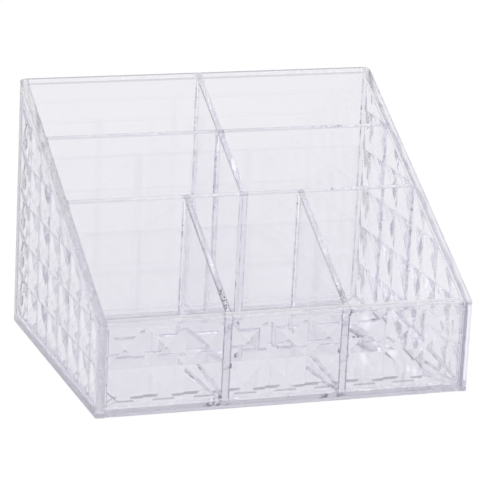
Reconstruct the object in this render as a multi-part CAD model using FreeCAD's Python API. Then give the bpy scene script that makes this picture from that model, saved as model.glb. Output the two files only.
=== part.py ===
import FreeCAD, Part
import math
import os
from FreeCAD import Vector

# A stepped organizer for a dressing table: eleven panels of clear plastic, bonded edge to face.
# The origin is on the table, in the middle of the footprint: +X to the right, +Y to the back, +Z up.
# All lengths are in millimetres.

# Overall size
width = 240.0
depth = 190.0
rear_height = 161.5
front_height = 58.0

# Panel thicknesses
side_thickness = 5.5
front_thickness = 4.5
back_thickness = 5.5
wall_thickness = 3.0
divider_thickness = 4.0
base_thickness = 5.0

# Film of cement between two bonded panels
bond_line = 0.06

# Compartments, measured inside
rear_row_depth = 42.0
middle_row_depth = 47.0
front_middle_width = 71.6

# Facets: rows of four-sided pyramids on the outside of the two sides and of the front panel
facet_relief = 2.3
facet_row_pitch = 26.2
lowest_facet_groove = 3.0
front_facet_pitch = 25.8
side_facet_pitch = 23.5
crest_setback = 0.2

# Plain borders round the facets
side_foot_border = 5.5
side_front_border = 5.0
side_rear_border = 8.0
side_slope_border = 5.0
front_foot_border = 0.8
front_top_border = 2.6
front_end_border = 1.0

# Shallow recess under the base: a sloping border inside a flat rim, then a step up to a flat roof
end_rim_width = 4.4
front_rim_width = 12.9
recess_border_width = 10.0
recess_border_rise = 1.2
recess_step = 1.3

# Rounded edges
rear_corner_radius = 3.5
front_corner_radius = 1.2
edge_radius = 0.5

# How far a cutting block runs past the panel that it shapes
overrun = 1.0

# Places that follow from the sizes above
inner_half_width = width / 2 - side_thickness
fitted_half_width = inner_half_width - bond_line
panel_foot = base_thickness + bond_line
front_outer_y = -depth / 2
front_inner_y = front_outer_y + front_thickness
rear_outer_y = depth / 2
rear_inner_y = rear_outer_y - back_thickness
rear_tier_back_y = rear_inner_y - rear_row_depth
rear_tier_front_y = rear_tier_back_y - wall_thickness
front_tier_back_y = rear_tier_front_y - middle_row_depth
front_tier_front_y = front_tier_back_y - wall_thickness
front_divider_x = (front_middle_width + divider_thickness) / 2
top_slope = (rear_height - front_height) / depth

x_axis = Vector(1, 0, 0)
origin = Vector(0, 0, 0)


def top_at(y):
    """Height of the sloping top plane, at a place along the depth."""
    return front_height + top_slope * (y - front_outer_y)


def prism(points, along):
    """Solid that a closed outline sweeps along a vector."""
    outline = Part.makePolygon(points + points[:1])
    return Part.Face(outline).extrude(along)


def standing_panel(x_low, x_high, y_low, y_high, foot):
    """Upright panel whose top edge lies on the sloping top plane."""
    profile = [
        Vector(x_low, y_low, foot),
        Vector(x_low, y_high, foot),
        Vector(x_low, y_high, top_at(y_high)),
        Vector(x_low, y_low, top_at(y_low)),
    ]
    return prism(profile, Vector(x_high - x_low, 0, 0))


def edge_direction(edge):
    """Unit vector along a straight edge."""
    ends = edge.Vertexes
    return (ends[-1].Point - ends[0].Point).normalize()


def runs_across(edge):
    """Whether an edge runs from side to side."""
    direction = edge_direction(edge)
    return abs(direction.x) > direction.cross(x_axis).Length


def round_top(panel, across):
    """Panel with the two long edges of its top face rounded: across it, or along it."""
    top_face = max(panel.Faces, key=lambda face: face.CenterOfMass.z)
    long_edges = [edge for edge in top_face.Edges if runs_across(edge) == across]
    return panel.makeFillet(edge_radius, long_edges)


def ridge_line(first, pitch, count, groove_level, toward_crest):
    """Points of a row of ridges, from groove to crest to groove, as pairs of place and level."""
    points = []
    for index in range(count):
        groove = first + index * pitch
        points.append((groove, groove_level))
        points.append((groove + pitch / 2, groove_level + toward_crest * facet_relief))
    points.append((first + count * pitch, groove_level))
    return points


def facet_block(first_column, column_pitch, column_count, outer_y, inner_y):
    """Block with pyramids on its face towards -Y, where upright ridges cross level ones."""
    groove_y = outer_y + crest_setback + facet_relief
    columns = ridge_line(first_column, column_pitch, column_count, groove_y, -1)
    first_row = lowest_facet_groove - facet_row_pitch
    row_count = math.ceil((rear_height - first_row) / facet_row_pitch)
    rows = ridge_line(first_row, facet_row_pitch, row_count, groove_y, -1)
    column_end = first_column + column_count * column_pitch
    row_end = first_row + row_count * facet_row_pitch
    column_points = [Vector(x, y, first_row) for x, y in columns]
    column_points += [Vector(column_end, inner_y, first_row), Vector(first_column, inner_y, first_row)]
    row_points = [Vector(first_column, y, z) for z, y in rows]
    row_points += [Vector(first_column, inner_y, row_end), Vector(first_column, inner_y, first_row)]
    upright_ridges = prism(column_points, Vector(0, 0, row_end - first_row))
    level_ridges = prism(row_points, Vector(column_end - first_column, 0, 0))
    return upright_ridges.common(level_ridges)


def facet_panel(panel, block, window):
    """Panel with the facets of a block let into it, inside the outline of a window."""
    faceted = panel.cut(window).fuse(block.common(window))
    return faceted.removeSplitter()


def recess_corners(inset, z):
    """Corners of the recess at one height, that far inside its mouth."""
    half_x = fitted_half_width - end_rim_width - inset
    half_y = depth / 2 - front_rim_width - inset
    return [
        Vector(-half_x, -half_y, z),
        Vector(half_x, -half_y, z),
        Vector(half_x, half_y, z),
        Vector(-half_x, half_y, z),
    ]


def make_base():
    """Floor plate between the two sides, in front of the back panel, hollowed a little underneath."""
    plate = Part.makeBox(
        2 * fitted_half_width, rear_inner_y - bond_line - front_outer_y, base_thickness,
        Vector(-fitted_half_width, front_outer_y, 0))
    front_edges = [edge for edge in plate.Edges if runs_across(edge) and edge.CenterOfMass.y < 0]
    plate = plate.makeFillet(edge_radius, front_edges)

    mouth = recess_corners(0, 0)
    shoulder = recess_corners(recess_border_width, recess_border_rise)
    outlines = [Part.makePolygon(corners + corners[:1]) for corners in (mouth, shoulder)]
    plate = plate.cut(Part.makeLoft(outlines, True, True))
    return plate.cut(prism(shoulder, Vector(0, 0, recess_step)))


def make_side():
    """Left side, full depth, with a sloping top, rounded corners and facets on the outside."""
    outer_x = -width / 2
    panel = standing_panel(outer_x, -inner_half_width, front_outer_y, rear_outer_y, 0)
    for corner_y, radius in ((front_outer_y, front_corner_radius), (rear_outer_y, rear_corner_radius)):
        corner = Vector(outer_x, corner_y, front_height / 2)
        nearest = min(panel.Edges, key=lambda edge: edge.distToShape(Part.Vertex(corner))[0])
        panel = panel.makeFillet(radius, [nearest])
    middle_of_top = Vector((outer_x - inner_half_width) / 2, 0, top_at(0))
    top_face = min(panel.Faces, key=lambda face: face.distToShape(Part.Vertex(middle_of_top))[0])
    panel = panel.makeFillet(edge_radius, top_face.Edges)

    # The panel stands along Y, so its facets are laid out along X first and then turned
    half_count = math.ceil(depth / 2 / side_facet_pitch)
    block = facet_block(
        -half_count * side_facet_pitch, side_facet_pitch, 2 * half_count, outer_x, -inner_half_width)
    block.rotate(origin, Vector(0, 0, 1), -90)

    slope_drop = side_slope_border * math.hypot(1, top_slope)
    low_y = front_outer_y + side_front_border
    high_y = rear_outer_y - side_rear_border
    window = prism([
        Vector(outer_x - overrun, low_y, side_foot_border),
        Vector(outer_x - overrun, high_y, side_foot_border),
        Vector(outer_x - overrun, high_y, top_at(high_y) - slope_drop),
        Vector(outer_x - overrun, low_y, top_at(low_y) - slope_drop),
    ], Vector(side_thickness + 2 * overrun, 0, 0))
    return facet_panel(panel, block, window)


def make_front():
    """Low front panel between the sides, on the floor plate, with facets on the outside."""
    panel = standing_panel(-fitted_half_width, fitted_half_width, front_outer_y, front_inner_y, panel_foot)
    panel = round_top(panel, True)
    half_count = math.ceil(width / 2 / front_facet_pitch)
    column_count = 2 * half_count + 1
    first_column = -column_count * front_facet_pitch / 2
    block = facet_block(first_column, front_facet_pitch, column_count, front_outer_y, front_inner_y)
    half_window = fitted_half_width - front_end_border
    window_foot = panel_foot + front_foot_border
    window = Part.makeBox(
        2 * half_window, front_thickness + 2 * overrun, front_height - front_top_border - window_foot,
        Vector(-half_window, front_outer_y - overrun, window_foot))
    return facet_panel(panel, block, window)


def make_cross_wall(y_low, y_high, foot):
    """Plain upright wall from side to side."""
    return round_top(standing_panel(-fitted_half_width, fitted_half_width, y_low, y_high, foot), True)


def make_divider(middle_x, y_low, y_high):
    """Upright divider that runs from one cross wall to the next, on the floor plate."""
    half = divider_thickness / 2
    divider = standing_panel(
        middle_x - half, middle_x + half, y_low + bond_line, y_high - bond_line, panel_foot)
    return round_top(divider, False)


left_side = make_side()
pieces = {
    "base_plate": make_base(),
    "left_side_panel": left_side,
    "right_side_panel": left_side.mirror(origin, x_axis),
    "front_panel": make_front(),
    "back_panel": make_cross_wall(rear_inner_y, rear_outer_y, 0),
    "rear_tier_wall": make_cross_wall(rear_tier_front_y, rear_tier_back_y, panel_foot),
    "front_tier_wall": make_cross_wall(front_tier_front_y, front_tier_back_y, panel_foot),
    "rear_row_divider": make_divider(0, rear_tier_back_y, rear_inner_y),
    "middle_row_divider": make_divider(0, front_tier_back_y, rear_tier_front_y),
    "front_left_divider": make_divider(-front_divider_x, front_inner_y, front_tier_front_y),
    "front_right_divider": make_divider(front_divider_x, front_inner_y, front_tier_front_y),
}

os.makedirs("parts", exist_ok=True)
for name, piece in pieces.items():
    solid, = piece.Solids
    solid.exportStep("parts/" + name + ".step")
    print(name, "closed" if solid.isValid() else "BROKEN", "volume", round(solid.Volume))
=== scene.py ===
import math

import bpy
from mathutils import Matrix, Vector


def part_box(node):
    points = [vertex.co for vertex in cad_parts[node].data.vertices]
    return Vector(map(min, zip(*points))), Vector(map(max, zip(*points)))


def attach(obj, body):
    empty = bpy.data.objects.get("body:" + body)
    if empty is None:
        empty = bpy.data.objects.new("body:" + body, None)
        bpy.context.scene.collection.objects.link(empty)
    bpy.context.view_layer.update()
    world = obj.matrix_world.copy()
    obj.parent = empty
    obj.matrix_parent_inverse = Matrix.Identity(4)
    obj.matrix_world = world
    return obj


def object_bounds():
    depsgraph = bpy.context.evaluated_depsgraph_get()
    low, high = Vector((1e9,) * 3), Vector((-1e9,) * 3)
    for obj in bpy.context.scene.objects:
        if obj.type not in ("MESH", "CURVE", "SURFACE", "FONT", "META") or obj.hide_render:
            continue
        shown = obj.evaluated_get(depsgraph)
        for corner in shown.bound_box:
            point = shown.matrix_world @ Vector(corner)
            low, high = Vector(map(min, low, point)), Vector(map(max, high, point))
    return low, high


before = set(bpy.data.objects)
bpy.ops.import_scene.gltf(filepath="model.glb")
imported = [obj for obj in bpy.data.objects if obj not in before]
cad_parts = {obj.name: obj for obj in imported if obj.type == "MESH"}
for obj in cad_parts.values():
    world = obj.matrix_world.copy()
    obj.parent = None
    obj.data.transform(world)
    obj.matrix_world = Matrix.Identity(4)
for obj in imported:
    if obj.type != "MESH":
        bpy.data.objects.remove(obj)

packed_low, packed_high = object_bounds()
mm = 0.001


# Base plate: the floor of the organizer, moulded from clear polystyrene with a faint lilac cast.
# Its underside has a sloping border and a step, whose edges carry fine dark lines of painted shade,
# seen from above.
# It is cemented between the two sides, in front of the back panel.
# The base tint is the plastic's lilac cast, deepened as painted shade of the floor under the
# organizer.
base_tint_and_floor_shade = (0.856, 0.851, 0.888)
base_edge_tint = (0.975, 0.972, 0.99)
base_edge_blur = 0.10
# Painted shade: a darker line along the bottom rear edge of the base.
base_rear_shade_tint = (0.78, 0.77, 0.82)
base_rear_blur = 0.15
# Painted shade: dark lines along the step, the edge of the sloping border and the mitres
# underneath.
base_crease_shade_tint = (0.15, 0.14, 0.18)
base_line_blur = 0.25
front_face_y = packed_low[1]
edge_radius = 0.5 * mm
rear_line_start = 86 * mm
step_half_x = 100.04 * mm
step_half_y = 72.1 * mm
step_line_x = 0.8 * mm
step_line_y = 3.2 * mm
mitre_line = 1.2 * mm
recess_roof = 2.5 * mm
line_overlap = 0.1 * mm

# Bubbly cement that seeped out under the two front dividers
seep_tint = (0.10, 0.10, 0.13)
seep_reach = 13 * mm
seep_start = 2.4 * mm
seep_bubble_size = 1.4 * mm
seep_bubble_share = 0.55
seep_cluster_size = 5 * mm
seep_cluster_share = 0.5
cluster_detail = 2

# Clear plastic: streaks of the melt, haze, hairline scratches in worn patches, and slow waves
streak_size = 40 * mm
streak_detail = 2
streak_squeeze = (1, 1, 0.35)
streak_depth = 0.985
haze_size = 12 * mm
haze_detail = 5
haze_blur = 0.022
scratch_size = 22 * mm
scratch_detail = 3
scratch_squeeze = (1, 1, 3)
scratch_level = 0.5
scratch_half_width = 0.0022
scratch_blur = 0.16
worn_size = 18 * mm
worn_detail = 2
worn_level = 0.56
wave_size = 45 * mm
wave_detail = 1
wave_strength = 0.1
wave_height = 0.4 * mm
bending_of_light = 1.58
deep_tint = (0.50, 0.485, 0.575)
panel_depth_of_colour = 2.4


def feed(tree, socket, value):
    if isinstance(value, bpy.types.NodeSocket):
        tree.links.new(value, socket)
    else:
        socket.default_value = value


def calc(tree, operation, first, second=0.0):
    step = tree.nodes.new("ShaderNodeMath")
    step.operation = operation
    for socket, value in zip(step.inputs, (first, second)):
        feed(tree, socket, value)
    return step.outputs["Value"]


def above(tree, value, limit):
    return calc(tree, "GREATER_THAN", value, limit)


def below(tree, value, limit):
    return calc(tree, "LESS_THAN", value, limit)


def join_masks(tree, operation, masks):
    joined = masks[0]
    for mask in masks[1:]:
        joined = calc(tree, operation, joined, mask)
    return joined


def all_of(tree, *masks):
    return join_masks(tree, "MULTIPLY", masks)


def any_of(tree, *masks):
    return join_masks(tree, "MAXIMUM", masks)


def between(tree, value, low, high):
    return all_of(tree, above(tree, value, low), below(tree, value, high))


def object_place(tree):
    return tree.nodes.new("ShaderNodeTexCoord").outputs["Object"]


def cloud(tree, place, size, detail, squeeze=(1, 1, 1)):
    stretch = tree.nodes.new("ShaderNodeMapping")
    stretch.inputs["Scale"].default_value = squeeze
    tree.links.new(place, stretch.inputs["Vector"])
    noise = tree.nodes.new("ShaderNodeTexNoise")
    noise.inputs["Scale"].default_value = 1 / size
    noise.inputs["Detail"].default_value = detail
    tree.links.new(stretch.outputs["Vector"], noise.inputs["Vector"])
    return noise.outputs["Fac"]


def blend_colour(tree, share, first, second):
    mix = tree.nodes.new("ShaderNodeMix")
    mix.data_type = "RGBA"
    tree.links.new(share, mix.inputs["Factor"])
    colours_in = [socket for socket in mix.inputs if socket.type == "RGBA"]
    colour_out, = [socket for socket in mix.outputs if socket.type == "RGBA"]
    for socket, value in zip(colours_in, (first, second)):
        feed(tree, socket, value if isinstance(value, bpy.types.NodeSocket) else (*value, 1))
    return colour_out


def clear_plastic(name, tint, finishes_and_painted_shade, depth_of_colour=panel_depth_of_colour):
    material = bpy.data.materials.new(name)
    material.use_nodes = True
    tree = material.node_tree
    shader = tree.nodes["Principled BSDF"]
    output = tree.nodes["Material Output"]
    place = object_place(tree)
    split = tree.nodes.new("ShaderNodeSeparateXYZ")
    tree.links.new(place, split.inputs["Vector"])

    # Faint streaks of the melt in the colour, and a polish with a thin haze and hairline scratches
    streaks = cloud(tree, place, streak_size, streak_detail, streak_squeeze)
    deeper_tint = [channel * streak_depth for channel in tint]
    colour = blend_colour(tree, streaks, tint, deeper_tint)
    haze = calc(tree, "MULTIPLY", cloud(tree, place, haze_size, haze_detail), haze_blur)
    scratch_cloud = cloud(tree, place, scratch_size, scratch_detail, scratch_squeeze)
    contour = calc(tree, "SUBTRACT", scratch_cloud, scratch_level)
    hairline = between(tree, contour, -scratch_half_width, scratch_half_width)
    worn_patch = above(tree, cloud(tree, place, worn_size, worn_detail), worn_level)
    scratches = calc(tree, "MULTIPLY", all_of(tree, hairline, worn_patch), scratch_blur)
    roughness = calc(tree, "ADD", haze, scratches)

    # Edges and lines that the mould, the saw or the cement left duller or darker than the faces,
    # and lines and bands of painted shade
    for find_place, finish_and_shade_tint, blur in finishes_and_painted_shade:
        mask = find_place(tree, split.outputs)
        colour = blend_colour(tree, mask, colour, finish_and_shade_tint)
        roughness = calc(tree, "ADD", roughness, calc(tree, "MULTIPLY", mask, blur))
    tree.links.new(colour, shader.inputs["Base Color"])
    tree.links.new(roughness, shader.inputs["Roughness"])

    # Slow waves that the mould leaves in the surface
    waves = tree.nodes.new("ShaderNodeBump")
    waves.inputs["Strength"].default_value = wave_strength
    waves.inputs["Distance"].default_value = wave_height
    tree.links.new(cloud(tree, place, wave_size, wave_detail), waves.inputs["Height"])
    tree.links.new(waves.outputs["Normal"], shader.inputs["Normal"])
    shader.inputs["IOR"].default_value = bending_of_light
    shader.inputs["Transmission Weight"].default_value = 1

    # Long ways through the plastic take up light, so that edges look darker than faces
    deep_colour = tree.nodes.new("ShaderNodeVolumeAbsorption")
    deep_colour.inputs["Color"].default_value = (*deep_tint, 1)
    deep_colour.inputs["Density"].default_value = depth_of_colour
    tree.links.new(deep_colour.outputs["Volume"], output.inputs["Volume"])

    # Lamps shine through, so that the shadow is a light one
    let_through = tree.nodes.new("ShaderNodeBsdfTransparent")
    let_through.inputs["Color"].default_value = (*tint, 1)
    ray = tree.nodes.new("ShaderNodeLightPath")
    either = tree.nodes.new("ShaderNodeMixShader")
    tree.links.new(ray.outputs["Is Shadow Ray"], either.inputs["Fac"])
    tree.links.new(shader.outputs["BSDF"], either.inputs[1])
    tree.links.new(let_through.outputs["BSDF"], either.inputs[2])
    tree.links.new(either.outputs["Shader"], output.inputs["Surface"])
    return material


def dress(node_name, material):
    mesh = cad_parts[node_name].data
    mesh.materials.clear()
    mesh.materials.append(material)


def front_end(tree, at):
    return below(tree, at["Y"], front_face_y + edge_radius)


# Painted shade: dark lines along the step, the edge of the sloping border and the mitres of the
# underside recess.
def base_step_shade_lines(tree, at):
    past_x = calc(tree, "SUBTRACT", calc(tree, "ABSOLUTE", at["X"]), step_half_x)
    past_y = calc(tree, "SUBTRACT", calc(tree, "ABSOLUTE", at["Y"]), step_half_y)
    wider_in_front = calc(tree, "MULTIPLY", below(tree, at["Y"], 0), step_line_y - step_line_x)
    line_y = calc(tree, "ADD", wider_in_front, step_line_x)
    cross_line = all_of(
        tree, between(tree, past_y, -line_overlap, line_y), below(tree, past_x, step_line_x))
    side_line = all_of(
        tree, between(tree, past_x, -line_overlap, step_line_x), below(tree, past_y, step_line_x))
    apart = calc(tree, "SUBTRACT", past_x, past_y)
    mitre = all_of(
        tree, between(tree, apart, -mitre_line / 2, mitre_line / 2),
        above(tree, past_x, 0), above(tree, past_y, 0))
    underneath = below(tree, at["Z"], recess_roof + line_overlap)
    return all_of(tree, any_of(tree, cross_line, side_line, mitre), underneath)


# Painted shade: a darker line along the bottom rear edge of the base.
def base_rear_shade_line(tree, at):
    return all_of(tree, above(tree, at["Y"], rear_line_start), below(tree, at["Z"], line_overlap))


def specks(size, share, cluster_size, cluster_share):
    def find(tree, at):
        place = object_place(tree)
        cells = tree.nodes.new("ShaderNodeTexVoronoi")
        cells.inputs["Scale"].default_value = 1 / size
        tree.links.new(place, cells.inputs["Vector"])
        cluster_cloud = cloud(tree, place, cluster_size, cluster_detail)
        return all_of(
            tree, below(tree, cells.outputs["Distance"], share),
            above(tree, cluster_cloud, 1 - cluster_share))

    return find


seep_bubbles = specks(seep_bubble_size, seep_bubble_share, seep_cluster_size, seep_cluster_share)


def cement_seeps(tree, at):
    seeps = []
    for name in ("front_left_divider", "front_right_divider"):
        low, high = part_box(name)
        seeps.append(between(tree, at["X"], low.x - seep_reach, high.x))
    return all_of(
        tree, any_of(tree, *seeps), seep_bubbles(tree, at),
        front_end(tree, at), above(tree, at["Z"], seep_start))


clear_base = clear_plastic("clear_base", base_tint_and_floor_shade, [
    (front_end, base_edge_tint, base_edge_blur),
    (base_rear_shade_line, base_rear_shade_tint, base_rear_blur),
    (base_step_shade_lines, base_crease_shade_tint, base_line_blur),
    (cement_seeps, seep_tint, 0),
])
dress("base_plate", clear_base)


# Side panels: thick clear mouldings with rows of pyramids pressed into the outside.
# Fine darker lines of painted shade mark the grooves and the ridges of the pyramids.
# The sloping tops and the ends are plain satin edges, with painted shade along their inner part.
# Painted shade: the two sides are one moulding, yet the left side's face, ridge, groove and inner
# top tints are darker than the right's.
left_side_shaded_tint = (0.80, 0.792, 0.846)
left_ridge_shade_tint = (0.60, 0.585, 0.665)
left_groove_shade_tint = (0.50, 0.485, 0.57)
left_inner_top_shade_tint = (0.70, 0.685, 0.76)
left_inner_front_shade_tint = (0.84, 0.825, 0.90)
left_inner_edge = 4.4 * mm
left_top_blur = 0.20
right_side_tint = (0.88, 0.874, 0.912)
right_ridge_shade_tint = (0.78, 0.768, 0.835)
right_groove_shade_tint = (0.70, 0.685, 0.765)
right_inner_top_shade_tint = (0.80, 0.785, 0.85)
right_inner_front_shade_tint = (0.42, 0.40, 0.52)
right_inner_edge = 2.4 * mm
right_top_blur = 0.28
side_edge_tint = (0.97, 0.965, 0.985)
side_front_end_tint = (0.94, 0.925, 0.995)
side_front_end_blur = 0.25
side_front_inner_edge = 3.1 * mm
# Painted shade: the bottom of each side panel is darker along its foot.
side_foot_shade_tint = (0.62, 0.605, 0.69)
side_foot_blur = 0.10
side_foot_edge = 2.8 * mm
rear_border_tint = (0.97, 0.97, 0.965)
rear_border_blur = 0.35
rear_border_width = 3.8 * mm
side_outer_x = packed_high[0]
rear_face_y = packed_high[1]
front_height = 58 * mm
rear_height = 161.5 * mm
top_slope = (rear_height - front_height) / (rear_face_y - front_face_y)
top_skin = 0.6 * mm
groove_depth = 2.5 * mm
groove_round = 0.12 * mm
facet_half_length = 11.75 * mm
facet_half_height = 13.1 * mm
lowest_groove_z = 3.0 * mm
ridge_share = 0.035
facet_front_border = 5 * mm
facet_rear_border = 8 * mm
facet_border = 5.6 * mm


def below_slope(tree, at):
    rise = calc(tree, "MULTIPLY", calc(tree, "SUBTRACT", at["Y"], front_face_y), top_slope)
    return calc(tree, "SUBTRACT", calc(tree, "ADD", rise, front_height), at["Z"])


def sloping_top(tree, at):
    return below(tree, below_slope(tree, at), top_skin)


def from_outside(tree, at):
    return calc(tree, "SUBTRACT", side_outer_x, calc(tree, "ABSOLUTE", at["X"]))


# Painted shade: a darker band along the inner part of the sloping top and of the front end.
def shaded_inner_part(find_edge, inner_edge):
    def find(tree, at):
        return all_of(tree, above(tree, from_outside(tree, at), inner_edge), find_edge(tree, at))

    return find


def in_facets(tree, at, shallowest):
    return all_of(
        tree, between(tree, from_outside(tree, at), shallowest, groove_depth + groove_round),
        between(tree, at["Y"], front_face_y + facet_front_border, rear_face_y - facet_rear_border),
        above(tree, at["Z"], facet_border), above(tree, below_slope(tree, at), facet_border))


def share_of_way(tree, from_groove, half_pitch):
    return calc(tree, "DIVIDE", calc(tree, "PINGPONG", from_groove, half_pitch), half_pitch)


# Painted shade: darker lines along the ridges and in the grooves of the pyramids.
def shaded_side_ridges(tree, at):
    along = share_of_way(tree, at["Y"], facet_half_length)
    above_groove = calc(tree, "SUBTRACT", at["Z"], lowest_groove_z)
    apart = calc(tree, "SUBTRACT", along, share_of_way(tree, above_groove, facet_half_height))
    return all_of(tree, between(tree, apart, -ridge_share, ridge_share), in_facets(tree, at, 0))


def shaded_side_grooves(tree, at):
    return in_facets(tree, at, groove_depth - groove_round)


# Painted shade along the foot of the side panel.
def shaded_side_foot(tree, at):
    return below(tree, at["Z"], side_foot_edge)


def side_rear_border(tree, at):
    return above(tree, at["Y"], rear_face_y - rear_border_width)


for side_name, side_tint_and_shade, ridge_shade_tint, groove_shade_tint, top_tint_and_shade, inner_front_shade_tint, inner_edge, blur in (
    ("left", left_side_shaded_tint, left_ridge_shade_tint, left_groove_shade_tint,
     left_inner_top_shade_tint, left_inner_front_shade_tint, left_inner_edge, left_top_blur),
    ("right", right_side_tint, right_ridge_shade_tint, right_groove_shade_tint,
     right_inner_top_shade_tint, right_inner_front_shade_tint, right_inner_edge, right_top_blur),
):
    clear_side = clear_plastic("clear_" + side_name + "_side", side_tint_and_shade, [
        (shaded_side_ridges, ridge_shade_tint, 0),
        (shaded_side_grooves, groove_shade_tint, 0),
        (front_end, side_front_end_tint, side_front_end_blur),
        (shaded_inner_part(front_end, side_front_inner_edge), inner_front_shade_tint, 0),
        (side_rear_border, rear_border_tint, rear_border_blur),
        (shaded_side_foot, side_foot_shade_tint, side_foot_blur),
        (sloping_top, side_edge_tint, blur),
        (shaded_inner_part(sloping_top, inner_edge), top_tint_and_shade, 0),
    ])
    dress(side_name + "_side_panel", clear_side)


# Front panel: a low clear moulding between the sides, with the same pyramids on the outside.
# It stands on the front of the base plate and is cemented there and at both ends.
front_tint = (0.908, 0.903, 0.928)
front_top_tint = (0.93, 0.925, 0.95)
front_top_blur = 0.22
clear_front = clear_plastic("clear_front", front_tint, [
    (sloping_top, front_top_tint, front_top_blur),
])
dress("front_panel", clear_front)


# Back panel: the tallest sheet, plain on both faces, cemented between the sides behind the base.
# Its top is polished, with a fine dark line of painted shade along each rounded edge, darkest at
# the rear.
# A little cement has spread over the top where the rear divider meets it.
back_tint = (0.852, 0.847, 0.884)
back_top_tint = (0.97, 0.97, 0.965)
back_top_blur = 0.04
rim_width = 0.9 * mm
back_rim_shade_tint = (0.60, 0.59, 0.63)
back_rim_blur = 0.05
rear_rim_shade_tint = (0.40, 0.39, 0.43)
rear_rim_width = 1.6 * mm
smear_tint = (0.66, 0.645, 0.70)
smear_blur = 0.15
smear_reach = 2.6 * mm


# Painted shade: a darker line along each rounded edge of a top.
def shaded_top_rims(node_name, axis):
    low, high = (corner["XYZ".index(axis)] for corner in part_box(node_name))

    def find(tree, at):
        at_faces = any_of(
            tree, below(tree, at[axis], low + rim_width), above(tree, at[axis], high - rim_width))
        return all_of(tree, at_faces, sloping_top(tree, at))

    return find


def back_rear_shaded_rim(tree, at):
    at_rear = above(tree, at["Y"], rear_face_y - rear_rim_width)
    return all_of(tree, at_rear, sloping_top(tree, at))


def top_smears(*divider_names):
    places = [sum(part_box(name), Vector()).x / 2 for name in divider_names]

    def find(tree, at):
        smears = [between(tree, at["X"], x - smear_reach, x + smear_reach) for x in places]
        return all_of(tree, any_of(tree, *smears), sloping_top(tree, at))

    return find


clear_back = clear_plastic("clear_back", back_tint, [
    (sloping_top, back_top_tint, back_top_blur),
    (shaded_top_rims("back_panel", "Y"), back_rim_shade_tint, back_rim_blur),
    (back_rear_shaded_rim, rear_rim_shade_tint, 0),
    (top_smears("rear_row_divider"), smear_tint, smear_blur),
])
dress("back_panel", clear_back)


# Tier walls: two plain sheets from side to side that part the three rows of compartments.
# A little cement has spread over their tops where the dividers meet them.
wall_tint = (0.984, 0.981, 0.991)
wall_top_tint = (0.92, 0.915, 0.935)
wall_top_blur = 0.06
# Painted shade: a fine darker line along each rounded edge of the wall tops.
wall_rim_shade_tint = (0.82, 0.81, 0.85)
wall_rim_blur = 0.05
for wall_name, divider_names in (
    ("rear_tier_wall", ["rear_row_divider"]),
    ("front_tier_wall", ["middle_row_divider", "front_left_divider", "front_right_divider"]),
):
    clear_wall = clear_plastic("clear_" + wall_name, wall_tint, [
        (sloping_top, wall_top_tint, wall_top_blur),
        (shaded_top_rims(wall_name, "Y"), wall_rim_shade_tint, wall_rim_blur),
        (top_smears(*divider_names), smear_tint, smear_blur),
    ])
    dress(wall_name, clear_wall)


# Dividers: four plain sheets, clearer than the outer panels, that part the rows into compartments.
# Each is cemented at its foot and at both ends. Cement is smeared over the rear end of its top,
# and specks of it have dried near the front end. The front two still show the cut at their ends.
# Painted shade: the tops of the front two and the rounded top edges of all four are darker, most on
# the front left one.
divider_tint = (0.986, 0.984, 0.992)
pale_top_tint = (0.97, 0.967, 0.98)
left_divider_top_shade_tint = (0.84, 0.832, 0.865)
right_divider_top_shade_tint = (0.94, 0.935, 0.955)
rear_divider_blur = 0
middle_divider_blur = 0.05
front_divider_blur = 0.12
rear_divider_rim_shade_tint = (0.95, 0.945, 0.96)
middle_divider_rim_shade_tint = (0.86, 0.85, 0.885)
left_divider_rim_shade_tint = (0.54, 0.53, 0.58)
right_divider_rim_shade_tint = (0.78, 0.77, 0.81)
divider_rim_blur = 0.04
# Painted shade: the depth of colour differs between these like sheets to set how dark each looks.
rear_divider_depth_of_colour = 0.8
middle_divider_depth_of_colour = 1.5
left_divider_depth_of_colour = 1.7
right_divider_depth_of_colour = 1.2
cut_end_tint = (0.984, 0.98, 0.993)
cut_end_blur = 0.05
cut_face_depth = 0.2 * mm
smeared_end_tint = (0.96, 0.955, 0.97)
smeared_end_blur = 0.40
smeared_length = 4.5 * mm
pale_speck_tint = (0.82, 0.81, 0.85)
grey_speck_tint = (0.30, 0.29, 0.33)
black_speck_tint = (0.08, 0.08, 0.095)
speck_blur = 0.15
speck_reach = 16 * mm
speck_size = 0.9 * mm
speck_share = 0.5
speck_cluster_size = 3.5 * mm
speck_cluster_share = 0.5
cement_specks = specks(speck_size, speck_share, speck_cluster_size, speck_cluster_share)


def cut_ends(divider_name):
    low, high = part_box(divider_name)

    def find(tree, at):
        return any_of(
            tree, below(tree, at["Y"], low.y + cut_face_depth),
            above(tree, at["Y"], high.y - cut_face_depth))

    return find


def smeared_end(divider_name):
    rear_end_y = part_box(divider_name)[1].y

    def find(tree, at):
        near_rear = above(tree, at["Y"], rear_end_y - smeared_length)
        return all_of(tree, near_rear, sloping_top(tree, at))

    return find


def specks_on_top(divider_name):
    front_end_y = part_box(divider_name)[0].y

    def find(tree, at):
        near_front = below(tree, at["Y"], front_end_y + speck_reach)
        return all_of(tree, cement_specks(tree, at), near_front, sloping_top(tree, at))

    return find


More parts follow.
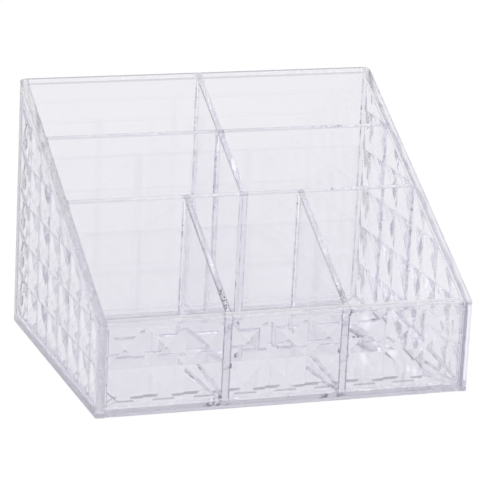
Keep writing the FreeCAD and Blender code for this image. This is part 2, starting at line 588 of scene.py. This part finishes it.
for divider_name, top_tint_and_shade, blur, rim_shade_tint, speck_tint, depth_of_colour in (
    ("rear_row_divider", pale_top_tint, rear_divider_blur,
     rear_divider_rim_shade_tint, pale_speck_tint, rear_divider_depth_of_colour),
    ("middle_row_divider", pale_top_tint, middle_divider_blur,
     middle_divider_rim_shade_tint, pale_speck_tint, middle_divider_depth_of_colour),
    ("front_left_divider", left_divider_top_shade_tint, front_divider_blur,
     left_divider_rim_shade_tint, black_speck_tint, left_divider_depth_of_colour),
    ("front_right_divider", right_divider_top_shade_tint, front_divider_blur,
     right_divider_rim_shade_tint, grey_speck_tint, right_divider_depth_of_colour),
):
    finishes_and_painted_shade = [
        (sloping_top, top_tint_and_shade, blur),
        (shaded_top_rims(divider_name, "X"), rim_shade_tint, divider_rim_blur),
        (smeared_end(divider_name), smeared_end_tint, smeared_end_blur),
        (specks_on_top(divider_name), speck_tint, speck_blur),
    ]
    if divider_name.startswith("front"):
        finishes_and_painted_shade.insert(0, (cut_ends(divider_name), cut_end_tint, cut_end_blur))
    clear_divider = clear_plastic(
        "clear_" + divider_name, divider_tint, finishes_and_painted_shade, depth_of_colour)
    dress(divider_name, clear_divider)


# Cement: thin clear beads up the inside corners of each compartment and round its floor.
# It was drawn in as a liquid and set hard, so the beads are uneven, cloudy in places, and bubbly.
cement_tint = (0.88, 0.873, 0.925)
cloudy_tint = (0.74, 0.725, 0.81)
cloudy_blur = 0.18
cloudy_size = 6 * mm
cloudy_detail = 3
cloudy_level = 0.52
# Painted shade: the beads within the front 7 mm, seen through the front panel, are darker.
front_cement_shade_tint = (0.62, 0.605, 0.70)
front_cement_blur = 0.10
front_cement_reach = 7 * mm
bubble_tint = (0.25, 0.24, 0.28)
bubble_blur = 0.10
bubble_size = 1.8 * mm
bubble_share = 0.3
bubble_cluster_size = 14 * mm
bubble_cluster_share = 0.45
bead_leg = 0.8 * mm
foot_leg = 0.5 * mm
divider_foot_leg = 0.9 * mm
bead_gap = 0.12 * mm
bead_step = 3 * mm
bead_unevenness = 0.09 * mm
below_top = 1.5 * mm
smooth_angle = math.radians(40)
floor_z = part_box("base_plate")[1].z + bead_gap
left_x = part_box("left_side_panel")[1].x
right_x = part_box("right_side_panel")[0].x
rear_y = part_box("back_panel")[0].y
front_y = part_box("front_panel")[1].y
rear_wall_low, rear_wall_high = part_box("rear_tier_wall")
front_wall_low, front_wall_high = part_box("front_tier_wall")
rear_divider_low, rear_divider_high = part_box("rear_row_divider")
middle_divider_low, middle_divider_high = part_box("middle_row_divider")
left_divider_low, left_divider_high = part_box("front_left_divider")
right_divider_low, right_divider_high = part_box("front_right_divider")


def cloudy_patches(tree, at):
    return above(tree, cloud(tree, object_place(tree), cloudy_size, cloudy_detail), cloudy_level)


# Painted shade on the beads near the front panel.
def shaded_at_front_panel(tree, at):
    return below(tree, at["Y"], front_face_y + front_cement_reach)


clear_cement = clear_plastic("clear_cement", cement_tint, [
    (cloudy_patches, cloudy_tint, cloudy_blur),
    (shaded_at_front_panel, front_cement_shade_tint, front_cement_blur),
    (specks(bubble_size, bubble_share, bubble_cluster_size, bubble_cluster_share),
     bubble_tint, bubble_blur),
])


def lay_bead(corner, run, first_leg, second_leg, seed):
    reach = run + first_leg + second_leg
    size = [abs(length) for length in reach]
    bpy.ops.object.select_all(action="DESELECT")
    bpy.ops.mesh.primitive_cube_add(size=1, location=corner + reach / 2, scale=size)
    bead = bpy.context.object
    bpy.ops.object.transform_apply(location=True, rotation=True, scale=True)

    # The outer half of the block is cut away, which leaves a three-sided bead in the corner
    bpy.ops.object.mode_set(mode="EDIT")
    bpy.ops.mesh.select_all(action="SELECT")
    slant = (first_leg + second_leg).normalized()
    bpy.ops.mesh.bisect(
        plane_co=corner + first_leg, plane_no=slant, use_fill=True, clear_outer=True)
    bpy.ops.mesh.select_mode(type="EDGE")
    bpy.ops.mesh.select_all(action="DESELECT")

    # Its long edges are divided, and the points between are set a little out of line
    bpy.ops.object.mode_set(mode="OBJECT")
    corners = bead.data.vertices
    for edge in bead.data.edges:
        first, second = (corners[index].co for index in edge.vertices)
        edge.select = abs((second - first).dot(run)) > run.length_squared / 2
    bpy.ops.object.mode_set(mode="EDIT")
    bpy.ops.mesh.subdivide(number_cuts=round(run.length / bead_step))
    bpy.ops.mesh.select_all(action="SELECT")
    bpy.ops.transform.vertex_random(offset=bead_unevenness, seed=seed)
    bpy.ops.mesh.normals_make_consistent(inside=False)
    bpy.ops.object.mode_set(mode="OBJECT")
    return bead


def cement_in(name, x_low, x_high, y_low, y_high):
    x_low, y_low = x_low + bead_gap, y_low + bead_gap
    x_high, y_high = x_high - bead_gap, y_high - bead_gap
    x_faces = ((x_low, 1), (x_high, -1))
    y_faces = ((y_low, 1), (y_high, -1))
    clear_of_corner = bead_leg + bead_gap
    beads = []
    for x, inward_x in x_faces:
        for y, inward_y in y_faces:
            top_z = front_height + top_slope * (y - front_face_y) - below_top
            beads.append(lay_bead(
                Vector((x, y, floor_z)), Vector((0, 0, top_z - floor_z)),
                Vector((inward_x * bead_leg, 0, 0)), Vector((0, inward_y * bead_leg, 0)),
                len(beads)))
    side_run = Vector((0, y_high - y_low - 2 * clear_of_corner, 0))
    for x, inward_x in x_faces:
        beads.append(lay_bead(
            Vector((x, y_low + clear_of_corner, floor_z)), side_run,
            Vector((inward_x * divider_foot_leg, 0, 0)), Vector((0, 0, divider_foot_leg)),
            len(beads)))

    # The feet of the front and the back panel have no bead
    foot_run = Vector((x_high - x_low - 2 * clear_of_corner, 0, 0))
    for y, inward_y in y_faces:
        if front_y + bead_leg < y < rear_y - bead_leg:
            beads.append(lay_bead(
                Vector((x_low + clear_of_corner, y, floor_z)), foot_run,
                Vector((0, inward_y * foot_leg, 0)), Vector((0, 0, foot_leg)),
                len(beads)))

    bpy.ops.object.select_all(action="DESELECT")
    for bead in beads:
        bead.select_set(True)
    bpy.context.view_layer.objects.active = beads[0]
    bpy.ops.object.join()
    cement = bpy.context.object
    cement.name = name
    bpy.ops.object.shade_smooth_by_angle(angle=smooth_angle)
    cement.data.materials.append(clear_cement)
    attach(cement, "root")


cement_in("rear_left_cement", left_x, rear_divider_low.x, rear_wall_high.y, rear_y)
cement_in("rear_right_cement", rear_divider_high.x, right_x, rear_wall_high.y, rear_y)
cement_in("middle_left_cement", left_x, middle_divider_low.x, front_wall_high.y, rear_wall_low.y)
cement_in("middle_right_cement", middle_divider_high.x, right_x, front_wall_high.y, rear_wall_low.y)
cement_in("front_left_cement", left_x, left_divider_low.x, front_y, front_wall_low.y)
cement_in(
    "front_middle_cement", left_divider_high.x, right_divider_low.x, front_y, front_wall_low.y)
cement_in("front_right_cement", right_divider_high.x, right_x, front_y, front_wall_low.y)


# Cement drops: lumps that were squeezed out beside the front ends of the two front dividers.
# They set on the inside of the front panel, full of air bubbles that look nearly black.
# Each row gives a drop's place across and up, and then its width and its height.
drop_tint = (0.80, 0.79, 0.83)
drop_thickness = 0.8 * mm
drop_unevenness = 0.10 * mm
drop_divisions = 3
drop_bubble_tint = (0.03, 0.03, 0.045)
drop_bubble_blur = 0.05
drop_bubble_size = 0.9 * mm
drop_bubble_share = 0.46
drop_cluster_size = 4 * mm
drop_cluster_share = 0.6
drops_in_mm = (
    (-31.5, 52.5, 1.6, 1.8),
    (-32.0, 32.5, 2.6, 3.0),
    (-34.9, 25.5, 1.4, 3.6),
    (-41.0, 6.6, 2.0, 2.2),
    (-44.5, 5.9, 1.8, 0.9),
    (-47.5, 5.9, 1.6, 0.8),
    (41.0, 54.5, 1.6, 3.8),
    (44.2, 39.0, 1.8, 1.3),
    (47.0, 38.9, 1.6, 1.2),
    (50.0, 39.3, 1.3, 1.0),
    (34.7, 31.0, 1.6, 3.0),
    (41.0, 27.0, 1.4, 2.2),
    (34.3, 6.2, 2.6, 1.6),
    (56.4, 49.0, 4.2, 1.4),
)
bubbly_cement = clear_plastic("bubbly_cement", drop_tint, [
    (specks(drop_bubble_size, drop_bubble_share, drop_cluster_size, drop_cluster_share),
     drop_bubble_tint, drop_bubble_blur),
])
drop_pieces = []
for drop_x, drop_z, drop_width, drop_height in drops_in_mm:
    drop_y = front_y + bead_gap + drop_thickness / 2
    bpy.ops.object.select_all(action="DESELECT")
    bpy.ops.mesh.primitive_ico_sphere_add(
        subdivisions=drop_divisions, radius=1 / 2, location=(drop_x * mm, drop_y, drop_z * mm),
        scale=(drop_width * mm, drop_thickness, drop_height * mm))
    bpy.ops.object.transform_apply(location=True, rotation=True, scale=True)
    bpy.ops.object.mode_set(mode="EDIT")
    bpy.ops.mesh.select_all(action="SELECT")
    bpy.ops.transform.vertex_random(offset=drop_unevenness, seed=len(drop_pieces))
    bpy.ops.object.mode_set(mode="OBJECT")
    drop_pieces.append(bpy.context.object)
for drop in drop_pieces:
    drop.select_set(True)
bpy.ops.object.join()
cement_drops = bpy.context.object
cement_drops.name = "front_cement_drops"
bpy.ops.object.shade_smooth()
cement_drops.data.materials.append(bubbly_cement)
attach(cement_drops, "root")


# Floor: a wide white sheet that the organizer stands on, just clear of its foot.
# It looks white by itself, also through the plastic, and keeps a light shadow.
floor_size = 6
floor_drop = 0.2 * mm
sheet_colour = (0.95, 0.95, 0.95, 1)
sheet_roughness = 0.9
white_share = 0.86
bpy.ops.object.select_all(action="DESELECT")
bpy.ops.mesh.primitive_plane_add(size=floor_size, location=(0, 0, -floor_drop))
floor = bpy.context.object
floor.name = "floor"
bpy.ops.object.transform_apply(location=True, rotation=True, scale=True)
white_sheet = bpy.data.materials.new("white_sheet")
white_sheet.use_nodes = True
sheet_tree = white_sheet.node_tree
sheet_output = sheet_tree.nodes["Material Output"]
sheet_shader = sheet_tree.nodes["Principled BSDF"]
sheet_shader.inputs["Base Color"].default_value = sheet_colour
sheet_shader.inputs["Roughness"].default_value = sheet_roughness
sheet_white = sheet_tree.nodes.new("ShaderNodeEmission")
sheet_mix = sheet_tree.nodes.new("ShaderNodeMixShader")
sheet_ray = sheet_tree.nodes.new("ShaderNodeLightPath").outputs
plain_sight = any_of(
    sheet_tree, sheet_ray["Is Camera Ray"], sheet_ray["Is Transmission Ray"],
    sheet_ray["Is Glossy Ray"])
whiteness = calc(sheet_tree, "MULTIPLY", plain_sight, white_share)
sheet_tree.links.new(whiteness, sheet_mix.inputs["Fac"])
sheet_tree.links.new(sheet_shader.outputs["BSDF"], sheet_mix.inputs[1])
sheet_tree.links.new(sheet_white.outputs["Emission"], sheet_mix.inputs[2])
sheet_tree.links.new(sheet_mix.outputs["Shader"], sheet_output.inputs["Surface"])
floor.data.materials.append(white_sheet)


# Studio: white walls all round, a dimmer ceiling, and one large soft lamp above on the left.
# So many clear panels in a row need many turns of each ray.
wall_colour = (1, 1, 1, 1)
ceiling_colour = (0.70, 0.69, 0.74, 1)
ceiling_start = 0.5
ceiling_full = 0.85
lamp_place = Vector((-1.5, -1.2, 3.6))
lamp_size = 2.4
lamp_power = 90
ray_turns = 128
see_through_turns = 64
studio = bpy.data.worlds.new("studio")
studio.use_nodes = True
studio_tree = studio.node_tree
direction = studio_tree.nodes.new("ShaderNodeTexCoord")
height = studio_tree.nodes.new("ShaderNodeSeparateXYZ")
studio_tree.links.new(direction.outputs["Generated"], height.inputs["Vector"])
walls_to_ceiling = studio_tree.nodes.new("ShaderNodeValToRGB")
wall_stop, ceiling_stop = walls_to_ceiling.color_ramp.elements
wall_stop.position = ceiling_start
wall_stop.color = wall_colour
ceiling_stop.position = ceiling_full
ceiling_stop.color = ceiling_colour
studio_tree.links.new(height.outputs["Z"], walls_to_ceiling.inputs["Fac"])
background = studio_tree.nodes["Background"]
studio_tree.links.new(walls_to_ceiling.outputs["Color"], background.inputs["Color"])
scene = bpy.context.scene
scene.world = studio
bpy.ops.object.light_add(type="AREA", location=lamp_place)
lamp = bpy.context.object
lamp.name = "soft_lamp"
lamp.data.size = lamp_size
lamp.data.energy = lamp_power
lamp.rotation_euler = (-lamp_place).to_track_quat("-Z", "Y").to_euler()
scene.cycles.max_bounces = ray_turns
scene.cycles.transmission_bounces = ray_turns
scene.cycles.glossy_bounces = ray_turns
scene.cycles.transparent_max_bounces = see_through_turns


# Camera: a long lens at the photograph's place, a little above the organizer and to its left.
# Its three axes point to the right and up in the picture, and back towards the viewer.
camera_sensor = 36
camera_lens = 213.39
camera_right = Vector((0.9428, -0.3298, 0.0479))
camera_up = Vector((0.0521, 0.2878, 0.9563))
camera_back = Vector((-0.3291, -0.8991, 0.2885))
camera_place = Vector((-588.8, -1609.3, 592.1)) * mm
camera_data = bpy.data.cameras.new("camera")
camera_data.sensor_width = camera_sensor
camera_data.lens = camera_lens
camera = bpy.data.objects.new("camera", camera_data)
scene.collection.objects.link(camera)
camera_turn = Matrix((camera_right, camera_up, camera_back)).transposed()
camera.matrix_world = Matrix.Translation(camera_place) @ camera_turn.to_4x4()
scene.camera = camera
scene.view_settings.view_transform = "Standard"
